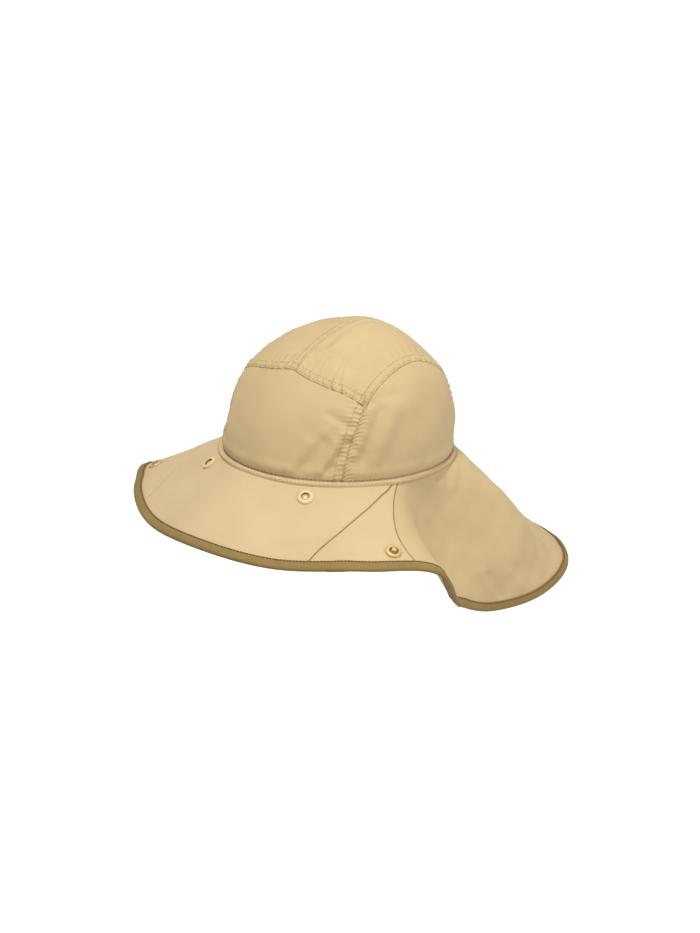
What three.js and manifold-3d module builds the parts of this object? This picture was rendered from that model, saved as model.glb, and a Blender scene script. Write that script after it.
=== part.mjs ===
// A soft sun hat with a wide front brim and a neck flap behind.
// Millimetres, +Z up. The origin is the middle of the head opening, the front of the hat is -Y
// and the wearer's left is +X. The hat is the same on both sides of the plane X = 0.

import * as THREE from 'three';
import { mergeVertices } from 'three/addons/utils/BufferGeometryUtils.js';
import Module from 'manifold-3d';

const wasm = await Module();
wasm.setup();

// Crown
const crownLength = 200;
const crownWidth = 168;
const crownHeight = 102;
const apexBack = 16;
const crownWall = 1.4;

// Brim and flap
const brimReach = 70;
const brimDrop = 44;
const flapReach = 150;
const flapDrop = 115;
const brimWall = 1.6;

// Edge binding
const bindingWidth = 8;
const bindingWall = 1;

// Snap fasteners
const snapRadius = 6.2;
const snapHeight = 1.6;
const snapWell = 2.8;
const snapShank = 2.4;
const snapBackHeight = 0.9;
const studRadius = 2;
const studHeight = 3;

// Clearances
const gap = 0.3;
const snapClearance = 0.35;

// The shape of the crown's rise by turn, in degrees from the front: across is the exponent of the
// level share and up is the exponent of the height share in across^a + up^b = 1.
const crownRows = [
  { turn: 0, across: 1.85, up: 1.85 },
  { turn: 90, across: 1.5, up: 3.35 },
  { turn: 180, across: 1.55, up: 2.45 },
];

// The brim and the flap by turn: how far the rim lies out from the crown and down from its foot,
// and how far the cloth arches up between them. The brim's rows are shares of brimReach and
// brimDrop, with the arch a share of brimReach, and the flap's rows follow the flap's sizes.
const brimRows = [
  { turn: 0, out: 0.99, down: 0.98, arch: 0.04 },
  { turn: 25, out: 0.93, down: 1.07, arch: -0.06 },
  { turn: 50, out: 1.0, down: 0.98, arch: -0.01 },
  { turn: 70, out: 1.09, down: 1.09, arch: -0.09 },
];
const flapRows = [
  { turn: 85, out: 0.375, down: 0.75, arch: -0.175 },
  { turn: 100, out: 0.265, down: 0.92, arch: -0.095 },
  { turn: 115, out: 0.32, down: 1.04, arch: 0.055 },
  { turn: 130, out: 0.525, down: 1.04, arch: 0.2 },
  { turn: 150, out: 0.795, down: 0.975, arch: 0.01 },
  { turn: 180, out: 0.99, down: 0.99, arch: -0.145 },
];

// Seams of the crown on the wearer's left: turn in degrees from the front, and rise from the foot
// of the crown, 0, to its top, 1. The arch starts at the foot of the side seam and runs over the
// side panel to the foot at the back, and corner marks the rows where another seam joins it or
// where a patch turns.
const archRows = [
  { turn: 47, rise: 0, corner: 'foot' },
  { turn: 49.3, rise: 0.1 },
  { turn: 52.4, rise: 0.19 },
  { turn: 56, rise: 0.274, corner: 'front' },
  { turn: 64.9, rise: 0.371 },
  { turn: 81.9, rise: 0.446 },
  { turn: 95, rise: 0.458 },
  { turn: 108, rise: 0.442 },
  { turn: 120, rise: 0.395 },
  { turn: 131, rise: 0.318, corner: 'rear' },
  { turn: 141, rise: 0.18 },
  { turn: 148, rise: 0, corner: 'heel' },
];
const frontSeamRows = [
  { turn: 0, rise: 0.515 },
  { turn: 9.1, rise: 0.498 },
  { turn: 18.8, rise: 0.47 },
  { turn: 27.2, rise: 0.441 },
  { turn: 34.4, rise: 0.41 },
  { turn: 41.2, rise: 0.38 },
  { turn: 47.4, rise: 0.34 },
  { turn: 56, rise: 0.274 },
];

// Seams of the brim on the wearer's left: turn, and run from the crown, 0, to the rim, 1.
const gussetFrontRows = [
  { turn: 74.6, run: 0 },
  { turn: 67.6, run: 0.1 },
  { turn: 61.9, run: 0.18 },
  { turn: 52, run: 0.37 },
  { turn: 44.1, run: 0.56 },
  { turn: 37.7, run: 0.75 },
  { turn: 34.4, run: 0.9 },
  { turn: 33, run: 1 },
];
const gussetRearRows = [
  { turn: 77, run: 0 },
  { turn: 72.7, run: 0.087 },
  { turn: 68.2, run: 0.21 },
  { turn: 65.4, run: 0.33 },
  { turn: 63.5, run: 0.45 },
  { turn: 62.5, run: 0.57 },
  { turn: 62.4, run: 0.73 },
  { turn: 63.2, run: 0.86 },
  { turn: 64.6, run: 1 },
];

// Soft folds of the crown: where the middle of each lies, the lean of its line from the upright,
// its half length and half width as shares of crownHeight, and its height as a share of the width.
const crownFoldRows = [
  { turn: 37, rise: 0.09, lean: 38, long: 0.2, wide: 0.07, high: -0.2 },
  { turn: 27, rise: 0.07, lean: 42, long: 0.2, wide: 0.08, high: 0.14 },
  { turn: 54, rise: 0.1, lean: 14, long: 0.22, wide: 0.07, high: -0.22 },
  { turn: 64, rise: 0.13, lean: 22, long: 0.3, wide: 0.09, high: 0.14 },
];

// Soft folds of the flap in the same way, as shares of flapReach.
const flapFoldRows = [
  { turn: 104, run: 0.55, lean: 12, long: 0.22, wide: 0.1, high: -0.12 },
  { turn: 122, run: 0.7, lean: -20, long: 0.16, wide: 0.1, high: 0.12 },
  { turn: 137, run: 0.7, lean: -16, long: 0.17, wide: 0.1, high: -0.12 },
  { turn: 160, run: 0.6, lean: 8, long: 0.24, wide: 0.12, high: 0.1 },
];

// Where the snaps sit on the brim
const socketPlace = { turn: 31, run: 0.182 };
const studPlace = { turn: 58.6, run: 0.794 };

// How many facets each patch has
const crownSegments = 16;
const crownRiseSegments = 8;
const crownOverSegments = 14;
const topSegments = 8;
const brimSegments = 24;
const gussetSegments = 12;
const flapSegments = 50;
const brimRings = 10;
const snapSides = 12;

const colours = {
  crown: 0xd0b98a,
  top: 0xdfca9b,
  brim: 0xdec79b,
  flap: 0xceb785,
  binding: 0x9c8550,
  socket: 0xe8d9ae,
  stud: 0xc2a35a,
};

const radians = THREE.MathUtils.degToRad;

// Value of one column of a table at a place between its rows, as a smooth curve through them.
function smooth(rows, key, place, name) {
  const last = rows.length - 1;
  const at = THREE.MathUtils.clamp(place, rows[0][key], rows[last][key]);
  let i = 0;
  while (i < last - 1 && at > rows[i + 1][key]) i += 1;
  const slope = (k) => (rows[k + 1][name] - rows[k][name]) / (rows[k + 1][key] - rows[k][key]);
  const tangent = (k) => {
    if (k === 0 || k === last) return 0;
    const before = rows[k][key] - rows[k - 1][key];
    const after = rows[k + 1][key] - rows[k][key];
    return (before * slope(k) + after * slope(k - 1)) / (before + after);
  };
  const width = rows[i + 1][key] - rows[i][key];
  const t = (at - rows[i][key]) / width;
  const t2 = t * t;
  const t3 = t2 * t;
  return (2 * t3 - 3 * t2 + 1) * rows[i][name] + (t3 - 2 * t2 + t) * width * tangent(i)
    + (3 * t2 - 2 * t3) * rows[i + 1][name] + (t3 - t2) * width * tangent(i + 1);
}

// Height of a set of soft folds at a place, given the millimetres for a degree and for one run.
function foldHeight(rows, key, turn, place, perDegree, perRun, size) {
  let height = 0;
  for (const row of rows) {
    const lean = radians(row.lean);
    const sideways = (turn - row.turn) * perDegree;
    const upward = (place - row[key]) * perRun;
    const along = (upward * Math.cos(lean) + sideways * Math.sin(lean)) / (row.long * size);
    const across = (sideways * Math.cos(lean) - upward * Math.sin(lean)) / (row.wide * size);
    height += row.high * row.wide * size * Math.exp(-along * along - across * across);
  }
  return height;
}

// Outside of the crown over a flat disc: (u, v) points away from the middle by 1 minus the rise.
function crownPoint(u, v) {
  const turn = Math.abs(THREE.MathUtils.radToDeg(Math.atan2(u, -v)));
  const reach = Math.min(Math.hypot(u, v), 1);
  const rise = radians(90 * (1 - reach));
  const level = Math.cos(rise) ** (2 / smooth(crownRows, 'turn', turn, 'across'));
  const height = Math.sin(rise) ** (2 / smooth(crownRows, 'turn', turn, 'up'));
  const heading = Math.atan2(u, -v);
  return new THREE.Vector3(
    crownWidth / 2 * Math.sin(heading) * level,
    -crownLength / 2 * Math.cos(heading) * level + apexBack * (1 - level),
    crownHeight * height,
  );
}

function crownNormal(u, v) {
  const step = 0.002;
  const reach = Math.max(Math.hypot(u, v), 1e-9);
  const limit = Math.min(1, (1 - step) / reach);
  const across = crownPoint(u * limit + step, v * limit).sub(crownPoint(u * limit - step, v * limit));
  const along = crownPoint(u * limit, v * limit + step).sub(crownPoint(u * limit, v * limit - step));
  return across.cross(along).normalize();
}

// A point of the crown cloth, lifted by its folds and sunk by depth below its outside.
function crownCloth(u, v, depth) {
  const turn = Math.abs(THREE.MathUtils.radToDeg(Math.atan2(u, -v)));
  const rise = 1 - Math.min(Math.hypot(u, v), 1);
  const perDegree = (crownLength + crownWidth) / 4 * radians(1);
  const fold = foldHeight(crownFoldRows, 'rise', turn, rise, perDegree, crownHeight * 1.5, crownHeight);
  const rooted = fold * Math.min(1, rise * 12);
  return crownPoint(u, v).addScaledVector(crownNormal(u, v), rooted - depth);
}

// The brim and flap rows in millimetres, all round
const profileRows = [
  ...brimRows.map((row) => ({
    turn: row.turn, out: row.out * brimReach, down: row.down * brimDrop, arch: row.arch * brimReach,
  })),
  ...flapRows.map((row) => ({
    turn: row.turn, out: row.out * flapReach, down: row.down * flapDrop, arch: row.arch * flapReach,
  })),
];

// Top of the brim and flap: turn runs all round in degrees, and run from the crown to the rim.
function brimPoint(turn, run) {
  const side = Math.abs(((turn + 180) % 360 + 360) % 360 - 180);
  const out = smooth(profileRows, 'turn', side, 'out');
  const down = smooth(profileRows, 'turn', side, 'down');
  const arch = smooth(profileRows, 'turn', side, 'arch');
  const length = Math.hypot(out, down);
  const midOut = out / 2 + arch * down / length;
  const midUp = -down / 2 + arch * out / length;
  const outward = 2 * run * (1 - run) * midOut + run * run * out;
  const upward = 2 * run * (1 - run) * midUp - run * run * down;
  const heading = radians(turn);
  const foot = new THREE.Vector3(
    crownWidth / 2 * Math.sin(heading), -crownLength / 2 * Math.cos(heading), upward);
  const away = new THREE.Vector3(Math.sin(heading) / crownWidth, -Math.cos(heading) / crownLength, 0);
  return foot.addScaledVector(away.normalize(), outward);
}

function brimNormal(turn, run) {
  const degree = 0.2;
  const step = 0.002;
  const around = brimPoint(turn + degree, run).sub(brimPoint(turn - degree, run));
  const outward = brimPoint(turn, run + step).sub(brimPoint(turn, run - step));
  return outward.cross(around).normalize();
}

// A point of the brim cloth, lifted by the flap's folds and sunk by depth below its top.
function brimCloth(turn, run, depth) {
  const side = Math.abs(((turn + 180) % 360 + 360) % 360 - 180);
  const perDegree = (crownLength + crownWidth + flapReach) / 4 * radians(1);
  const fold = foldHeight(flapFoldRows, 'run', side, run, perDegree, flapReach, flapReach);
  return brimPoint(turn, run).addScaledVector(brimNormal(turn, run), fold - depth);
}

// A seam as a curve from 0 to 1 over rows of any two columns, in even steps of its rows' spacing.
function seamCurve(points) {
  const curve = new THREE.SplineCurve(points);
  return (t) => curve.getPoint(THREE.MathUtils.clamp(t, 0, 1));
}

function discPoint(row, side) {
  const heading = radians(row.turn) * side;
  return new THREE.Vector2((1 - row.rise) * Math.sin(heading), -(1 - row.rise) * Math.cos(heading));
}

// A four-sided patch of the flat plan between four curves: near and far run the same way, and
// first and last join their starts and their ends.
function patch(near, far, first, last) {
  return (s, t) => {
    const corner = (a, b, weight) => near(a).multiplyScalar((1 - b) * weight)
      .add(far(a).multiplyScalar(b * weight));
    const point = near(s).multiplyScalar(1 - t).add(far(s).multiplyScalar(t));
    point.add(first(t).multiplyScalar(1 - s)).add(last(t).multiplyScalar(s));
    point.sub(corner(0, t, 1 - s)).sub(corner(1, t, s));
    return point;
  };
}

// Grid of plan points of a patch, with each side drawn in by its own inset in millimetres.
function insetGrid(plan, cloth, columns, rows, inset) {
  const grid = [];
  for (let i = 0; i <= columns; i += 1) {
    grid.push([]);
    for (let j = 0; j <= rows; j += 1) grid[i].push(plan(i / columns, j / rows));
  }
  const place = (p) => cloth(p.x, p.y, 0);
  const shift = (i, j, di, dj, amount) => {
    const here = place(grid[i][j]);
    const inward = place(grid[i + di][j + dj]).sub(here);
    const a = grid[Math.max(i - Math.abs(dj), 0)][Math.max(j - Math.abs(di), 0)];
    const b = grid[Math.min(i + Math.abs(dj), columns)][Math.min(j + Math.abs(di), rows)];
    const edge = place(b).sub(place(a)).normalize();
    const square = inward.clone().addScaledVector(edge, -inward.dot(edge)).length();
    return grid[i + di][j + dj].clone().sub(grid[i][j]).multiplyScalar(amount / square);
  };
  const moves = [];
  for (let i = 0; i <= columns; i += 1) {
    if (inset.near) moves.push([i, 0, shift(i, 0, 0, 1, inset.near)]);
    if (inset.far) moves.push([i, rows, shift(i, rows, 0, -1, inset.far)]);
  }
  for (let j = 0; j <= rows; j += 1) {
    if (inset.first) moves.push([0, j, shift(0, j, 1, 0, inset.first)]);
    if (inset.last) moves.push([columns, j, shift(columns, j, -1, 0, inset.last)]);
  }
  for (const [i, j, move] of moves) grid[i][j].add(move);
  return grid;
}

// Adds a quad as two triangles, split along the diagonal that stands proud on the side of up.
function addQuad(faces, points, [a, b, c, d], up) {
  const ridge = points[a].clone().add(points[c]).sub(points[b]).sub(points[d]).dot(up);
  if (ridge >= 0) faces.push(a, b, c, a, c, d);
  else faces.push(b, c, d, b, d, a);
}

// A wall of cloth over a grid of plan points, closed all round.
function wallGeometry(grid, cloth, wall) {
  const columns = grid.length;
  const rows = grid[0].length;
  const points = [];
  for (const depth of [0, wall]) {
    for (const column of grid) {
      for (const p of column) points.push(cloth(p.x, p.y, depth));
    }
  }
  const faces = [];
  const id = (layer, i, j) => layer * columns * rows + i * rows + j;
  for (let i = 0; i < columns - 1; i += 1) {
    for (let j = 0; j < rows - 1; j += 1) {
      const up = points[id(0, i, j)].clone().sub(points[id(1, i, j)]);
      addQuad(faces, points, [id(0, i, j), id(0, i + 1, j), id(0, i + 1, j + 1), id(0, i, j + 1)], up);
      addQuad(faces, points, [id(1, i, j), id(1, i, j + 1), id(1, i + 1, j + 1), id(1, i + 1, j)], up);
    }
  }
  const edge = (a, b) => {
    const below = columns * rows;
    faces.push(b, a, a + below, b, a + below, b + below);
  };
  for (let i = 0; i < columns - 1; i += 1) {
    edge(id(0, i, 0), id(0, i + 1, 0));
    edge(id(0, i + 1, rows - 1), id(0, i, rows - 1));
  }
  for (let j = 0; j < rows - 1; j += 1) {
    edge(id(0, 0, j + 1), id(0, 0, j));
    edge(id(0, columns - 1, j), id(0, columns - 1, j + 1));
  }
  return closedGeometry(points.flatMap((p) => p.toArray()), faces);
}

// A closed geometry with shared corners, no empty facets and its faces pointing out.
function closedGeometry(positions, faces) {
  const loose = new THREE.BufferGeometry();
  loose.setAttribute('position', new THREE.Float32BufferAttribute(positions, 3));
  loose.setIndex(faces);
  const geometry = mergeVertices(loose, 1e-4);
  const index = geometry.index.array;
  const place = (k) => new THREE.Vector3().fromBufferAttribute(geometry.attributes.position, k);
  const kept = [];
  let volume = 0;
  for (let k = 0; k < index.length; k += 3) {
    const [a, b, c] = [index[k], index[k + 1], index[k + 2]];
    if (a === b || b === c || c === a) continue;
    kept.push(a, b, c);
    volume += place(a).dot(place(b).cross(place(c)));
  }
  if (volume < 0) kept.reverse();
  geometry.setIndex(kept);
  return geometry;
}

function toSolid(geometry) {
  return new wasm.Manifold(new wasm.Mesh({
    numProp: 3,
    vertProperties: Float32Array.from(geometry.attributes.position.array),
    triVerts: Uint32Array.from(geometry.index.array),
  }));
}

function fromSolid(solid) {
  const { vertProperties, triVerts } = solid.getMesh();
  return closedGeometry(Array.from(vertProperties), Array.from(triVerts));
}

function crownPanel(plan, columns, rows, inset) {
  return wallGeometry(insetGrid(plan, crownCloth, columns, rows, inset), crownCloth, crownWall);
}

// A panel of the brim, whose last ring of facets is as wide as the binding over it.
function brimPanel(plan, columns) {
  const length = (s) => {
    const steps = 8;
    let sum = 0;
    for (let k = 0; k < steps; k += 1) {
      const a = plan(s, k / steps);
      const b = plan(s, (k + 1) / steps);
      sum += brimPoint(a.x, a.y).distanceTo(brimPoint(b.x, b.y));
    }
    return sum;
  };
  const graded = (s, t) => {
    const even = t * (1 - bindingWidth / length(s)) / (1 - 1 / brimRings);
    return plan(s, t < 1 ? even : 1);
  };
  const inset = { near: gap, far: bindingWall + gap, first: seam, last: seam };
  return wallGeometry(insetGrid(graded, brimCloth, columns, brimRings, inset), brimCloth, brimWall);
}

const lerp = THREE.MathUtils.lerp;
const seam = gap / 2;

// The crown's seams on one side: side is 1 for the wearer's left and -1 for the right.
function crownSeams(side) {
  const arch = seamCurve(archRows.map((row) => discPoint(row, side)));
  const share = (corner) => archRows.findIndex((row) => row.corner === corner) / (archRows.length - 1);
  const stretch = (from, to) => (t) => arch(lerp(share(from), share(to), t));
  const across = [
    ...frontSeamRows.slice(1).reverse().map((row) => discPoint(row, -side)),
    ...frontSeamRows.map((row) => discPoint(row, side)),
  ];
  return { stretch, forehead: seamCurve(across) };
}

// A stretch of the crown's foot between two turns.
function crownFoot(from, to, side) {
  return (s) => discPoint({ turn: lerp(from, to, s), rise: 0 }, side);
}

const footTurn = archRows[0].turn;
const heelTurn = archRows[archRows.length - 1].turn;

function crownFront() {
  const right = crownSeams(-1);
  const left = crownSeams(1);
  const plan = patch(
    crownFoot(-footTurn, footTurn, 1), left.forehead,
    right.stretch('foot', 'front'), left.stretch('foot', 'front'));
  return crownPanel(plan, crownSegments, crownRiseSegments, { far: seam, first: seam, last: seam });
}

function crownSide(side) {
  const { stretch } = crownSeams(side);
  const plan = patch(
    crownFoot(footTurn, heelTurn, side), stretch('front', 'rear'),
    stretch('foot', 'front'), stretch('heel', 'rear'));
  return crownPanel(plan, crownOverSegments, crownRiseSegments, { far: seam, first: seam, last: seam });
}

function crownTop(side) {
  const { stretch, forehead } = crownSeams(side);
  const rows = crownOverSegments + crownRiseSegments;
  const turnover = crownOverSegments / rows;
  const over = stretch('front', 'rear');
  const down = stretch('rear', 'heel');
  const front = forehead(0.5).y;
  const plan = patch(
    (s) => forehead(0.5 + s / 2),
    crownFoot(180, heelTurn, side),
    (t) => new THREE.Vector2(0, lerp(front, 1, t)),
    (t) => (t < turnover ? over(t / turnover) : down((t - turnover) / (1 - turnover))));
  return crownPanel(plan, topSegments, rows, { near: seam, first: seam, last: seam });
}

// The brim's seams on one side, in turn and run.
function brimSeam(rows, mirror) {
  return seamCurve(rows.map((row) => new THREE.Vector2(mirror(row.turn), row.run)));
}

// A line of the brim at one run between two turns.
function brimLine(from, to, run) {
  return (s) => new THREE.Vector2(lerp(from, to, s), run);
}

// Shares of the flap's width from end to end, closer together at its two ends, where it bends most.
function flapShare(s) {
  const crowding = 0.4;
  return s - crowding * Math.sin(2 * Math.PI * s) / (2 * Math.PI);
}

const same = (turn) => turn;
const opposite = (turn) => -turn;
const around = (turn) => 360 - turn;
const innerTurn = (rows) => rows[0].turn;
const rimTurn = (rows) => rows[rows.length - 1].turn;

function brimFront() {
  const inner = innerTurn(gussetFrontRows);
  const rim = rimTurn(gussetFrontRows);
  const plan = patch(
    brimLine(-inner, inner, 0), brimLine(-rim, rim, 1),
    brimSeam(gussetFrontRows, opposite), brimSeam(gussetFrontRows, same));
  return brimPanel(plan, brimSegments);
}

function brimGusset(mirror) {
  const plan = patch(
    brimLine(mirror(innerTurn(gussetFrontRows)), mirror(innerTurn(gussetRearRows)), 0),
    brimLine(mirror(rimTurn(gussetFrontRows)), mirror(rimTurn(gussetRearRows)), 1),
    brimSeam(gussetFrontRows, mirror), brimSeam(gussetRearRows, mirror));
  return brimPanel(plan, gussetSegments);
}

function neckFlap() {
  const inner = innerTurn(gussetRearRows);
  const rim = rimTurn(gussetRearRows);
  const even = patch(
    brimLine(inner, around(inner), 0), brimLine(rim, around(rim), 1),
    brimSeam(gussetRearRows, same), brimSeam(gussetRearRows, around));
  return brimPanel((s, t) => even(flapShare(s), t), flapSegments);
}

// The tape round the rim: a narrow U whose legs lie over and under the edge of the cloth.
function edgeBinding() {
  const over = gap + bindingWall;
  const nose = bindingWall * 0.9;
  const section = [
    [bindingWidth, -over],
    [over, -over],
    [0, brimWall / 2 - nose],
    [0, brimWall / 2 + nose],
    [over, brimWall + over],
    [bindingWidth, brimWall + over],
    [bindingWidth, brimWall + gap],
    [bindingWall, brimWall + gap],
    [bindingWall, -gap],
    [bindingWidth, -gap],
  ];
  const front = rimTurn(gussetFrontRows);
  const rear = rimTurn(gussetRearRows);
  const stretches = [
    [-front, front, brimSegments, same],
    [front, rear, gussetSegments, same],
    [rear, around(rear), flapSegments, flapShare],
    [around(rear), around(front), gussetSegments, same],
  ];
  const turns = [];
  for (const [from, to, steps, share] of stretches) {
    for (let i = 0; i < steps; i += 1) turns.push(lerp(from, to, share(i / steps)));
  }
  const points = [];
  for (const turn of turns) {
    const lastBit = 0.02;
    const pace = brimPoint(turn, 1).distanceTo(brimPoint(turn, 1 - lastBit)) / lastBit;
    for (const [inward, depth] of section) points.push(brimCloth(turn, 1 - inward / pace, depth));
  }
  const faces = [];
  const count = section.length;
  for (let i = 0; i < turns.length; i += 1) {
    const here = i * count;
    const next = ((i + 1) % turns.length) * count;
    const up = points[here].clone().sub(points[here + count / 2]);
    for (let j = 0; j < count; j += 1) {
      const k = (j + 1) % count;
      addQuad(faces, points, [here + j, here + k, next + k, next + j], up);
    }
  }
  return closedGeometry(points.flatMap((p) => p.toArray()), faces);
}

// Puts a geometry made about the upright axis onto the brim, square to the cloth.
function seatOnBrim(geometry, place, side) {
  const turn = place.turn * side;
  const upright = new THREE.Vector3(0, 1, 0);
  const tilt = new THREE.Quaternion().setFromUnitVectors(upright, brimNormal(turn, place.run));
  const seat = brimCloth(turn, place.run, 0);
  geometry.applyQuaternion(tilt);
  geometry.translate(seat.x, seat.y, seat.z);
  geometry.deleteAttribute('normal');
  geometry.deleteAttribute('uv');
  return closedGeometry(Array.from(geometry.attributes.position.array), Array.from(geometry.index.array));
}

// Cuts the round hole for a snap's shank out of a panel.
function holeForSnap(panel, place, side) {
  const depth = 8 * brimWall;
  const drill = new THREE.CylinderGeometry(snapShank + gap, snapShank + gap, depth, snapSides);
  return fromSolid(toSolid(panel).subtract(toSolid(seatOnBrim(drill, place, side))));
}

// A snap is one turned piece: a face on top of the cloth, a shank through it and a back below.
function snapGeometry(crest, place, side) {
  const lift = snapClearance;
  const back = -brimWall - snapClearance;
  const profile = [
    ...crest,
    [snapRadius - 2.1, lift + snapHeight],
    [snapRadius - 0.7, lift + snapHeight * 0.75],
    [snapRadius, lift + snapHeight * 0.4],
    [snapRadius, lift],
    [snapShank, lift],
    [snapShank, back],
    [snapRadius - 0.6, back],
    [snapRadius - 0.8, back - snapBackHeight * 0.6],
    [snapRadius - 2, back - snapBackHeight],
    [0, back - snapBackHeight],
  ];
  const points = profile.map(([radius, height]) => new THREE.Vector2(radius, height));
  return seatOnBrim(new THREE.LatheGeometry(points, snapSides), place, side);
}

// The socket has a well in its middle, and the stud a boss.
function snapSocket(side) {
  const floor = snapClearance + snapHeight * 0.25;
  const crest = [
    [0, floor],
    [snapWell - 0.2, floor],
    [snapWell, snapClearance + snapHeight * 0.85],
  ];
  return snapGeometry(crest, socketPlace, side);
}

function snapStud(side) {
  const crest = [
    [0, studHeight],
    [studRadius * 0.7, studHeight],
    [studRadius, studHeight * 0.8],
    [studRadius * 0.85, studHeight * 0.5],
    [snapWell, snapClearance + snapHeight * 0.5],
  ];
  return snapGeometry(crest, studPlace, side);
}

const hat = new THREE.Group();

function addPiece(name, geometry, colour, roughness, metalness) {
  const material = new THREE.MeshStandardMaterial({ color: colour, roughness, metalness });
  const mesh = new THREE.Mesh(geometry, material);
  mesh.name = name;
  hat.add(mesh);
}

function addCloth(name, geometry, colour) {
  addPiece(name, geometry, colour, 0.85, 0);
}

addCloth('crown_front_panel', crownFront(), colours.crown);
let front = brimFront();
for (const [word, side] of [['left', 1], ['right', -1]]) {
  const mirror = side === 1 ? same : opposite;
  addCloth(`crown_top_${word}`, crownTop(side), colours.top);
  addCloth(`crown_side_${word}`, crownSide(side), colours.crown);
  addCloth(`brim_gusset_${word}`, holeForSnap(brimGusset(mirror), studPlace, side), colours.brim);
  front = holeForSnap(front, socketPlace, side);
  addPiece(`snap_socket_${word}`, snapSocket(side), colours.socket, 0.4, 0.2);
  addPiece(`snap_stud_${word}`, snapStud(side), colours.stud, 0.35, 0.8);
}
addCloth('brim_front', front, colours.brim);
addCloth('neck_flap', neckFlap(), colours.flap);
addCloth('edge_binding', edgeBinding(), colours.binding);

export default hat;
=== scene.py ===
import math

import bpy
import numpy as np
from mathutils import Matrix, Vector


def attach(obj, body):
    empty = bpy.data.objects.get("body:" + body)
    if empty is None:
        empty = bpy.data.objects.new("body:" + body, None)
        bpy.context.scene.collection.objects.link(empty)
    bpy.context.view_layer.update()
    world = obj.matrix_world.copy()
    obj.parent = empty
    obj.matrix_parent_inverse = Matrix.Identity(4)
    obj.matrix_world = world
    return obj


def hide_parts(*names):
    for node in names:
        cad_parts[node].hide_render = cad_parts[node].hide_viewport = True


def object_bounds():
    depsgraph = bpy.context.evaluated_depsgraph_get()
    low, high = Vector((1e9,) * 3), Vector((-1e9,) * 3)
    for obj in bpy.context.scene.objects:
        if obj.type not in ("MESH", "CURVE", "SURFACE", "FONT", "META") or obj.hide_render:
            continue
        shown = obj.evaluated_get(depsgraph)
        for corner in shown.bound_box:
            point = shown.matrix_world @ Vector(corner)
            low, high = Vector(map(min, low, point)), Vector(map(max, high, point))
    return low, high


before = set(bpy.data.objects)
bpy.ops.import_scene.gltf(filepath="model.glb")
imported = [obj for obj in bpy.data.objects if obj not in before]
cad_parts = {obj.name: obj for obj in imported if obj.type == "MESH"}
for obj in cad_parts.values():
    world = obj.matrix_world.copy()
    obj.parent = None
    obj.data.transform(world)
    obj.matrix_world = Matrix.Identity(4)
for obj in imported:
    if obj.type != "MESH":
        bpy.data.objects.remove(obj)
cad_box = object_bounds()

# Sizes of the hat
CROWN_LENGTH = 0.2
CROWN_WIDTH = 0.168
CROWN_HEIGHT = 0.102
APEX_BACK = 0.016
CROWN_WALL = 0.0014
BRIM_REACH = 0.07
BRIM_DROP = 0.044
FLAP_REACH = 0.15
FLAP_DROP = 0.115
BRIM_WALL = 0.0016
BINDING_WIDTH = 0.008
BINDING_WALL = 0.0009
BINDING_CLEAR = 0.0003
BINDING_EDGE = BRIM_WALL / 2 + BINDING_CLEAR + BINDING_WALL
RIM_INSET = BINDING_WALL + BINDING_CLEAR

# Sewing: a fell's rows of stitches are shares of its width, the binding's lap is a turn in degrees
STITCH_PITCH = 0.0031
STITCH_LENGTH = 0.0023
STITCH_RADIUS = 0.00023
FELL_WIDTH = 0.0072
FELL_ROWS = (0.22, 0.86)
BAND_WIDTH = 0.0041
FOOT_ALLOWANCE = 0.0016
FOOT_STITCH_ROW = FOOT_ALLOWANCE + 0.0012
FOOT_RADIUS = 0.09
BAND_RADIUS = 0.095
EDGE_ROLL = 0.0006
LAP_PLACE = 33

# Points of the binding: along the rim, on a leg, round the fold and on the inside
RIM_POINTS = 900
LEG_POINTS = 9
FOLD_POINTS = 9
INSIDE_POINTS = 4

# Snaps
SNAP_RADIUS = 0.0061
SNAP_WELL = 0.0033
SNAP_PILLAR = 0.0024
SNAP_BOSS = 0.002
SNAP_SEAT = 0.0003
SNAP_SIDES = 64

# The two sides of the hat, as the wearer has them
SIDES = (("left", 1), ("right", -1))

# The tables below are the ones of the solids, as shares of the sizes above.
CROWN_ROWS = [
    dict(turn=0, across=1.85, up=1.85),
    dict(turn=90, across=1.5, up=3.35),
    dict(turn=180, across=1.55, up=2.45),
]
BRIM_ROWS = [
    dict(turn=0, out=0.99, down=0.98, arch=0.04),
    dict(turn=25, out=0.93, down=1.07, arch=-0.06),
    dict(turn=50, out=1.0, down=0.98, arch=-0.01),
    dict(turn=70, out=1.09, down=1.09, arch=-0.09),
]
FLAP_ROWS = [
    dict(turn=85, out=0.375, down=0.75, arch=-0.175),
    dict(turn=100, out=0.265, down=0.92, arch=-0.095),
    dict(turn=115, out=0.32, down=1.04, arch=0.055),
    dict(turn=130, out=0.525, down=1.04, arch=0.2),
    dict(turn=150, out=0.795, down=0.975, arch=0.01),
    dict(turn=180, out=0.99, down=0.99, arch=-0.145),
]
ARCH_ROWS = [
    dict(turn=47, rise=0, corner="foot"),
    dict(turn=49.3, rise=0.1),
    dict(turn=52.4, rise=0.19),
    dict(turn=56, rise=0.274, corner="front"),
    dict(turn=64.9, rise=0.371),
    dict(turn=81.9, rise=0.446),
    dict(turn=95, rise=0.458),
    dict(turn=108, rise=0.442),
    dict(turn=120, rise=0.395),
    dict(turn=131, rise=0.318, corner="rear"),
    dict(turn=141, rise=0.18),
    dict(turn=148, rise=0, corner="heel"),
]
FRONT_SEAM_ROWS = [
    dict(turn=0, rise=0.515),
    dict(turn=9.1, rise=0.498),
    dict(turn=18.8, rise=0.47),
    dict(turn=27.2, rise=0.441),
    dict(turn=34.4, rise=0.41),
    dict(turn=41.2, rise=0.38),
    dict(turn=47.4, rise=0.34),
    dict(turn=56, rise=0.274),
]
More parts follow.
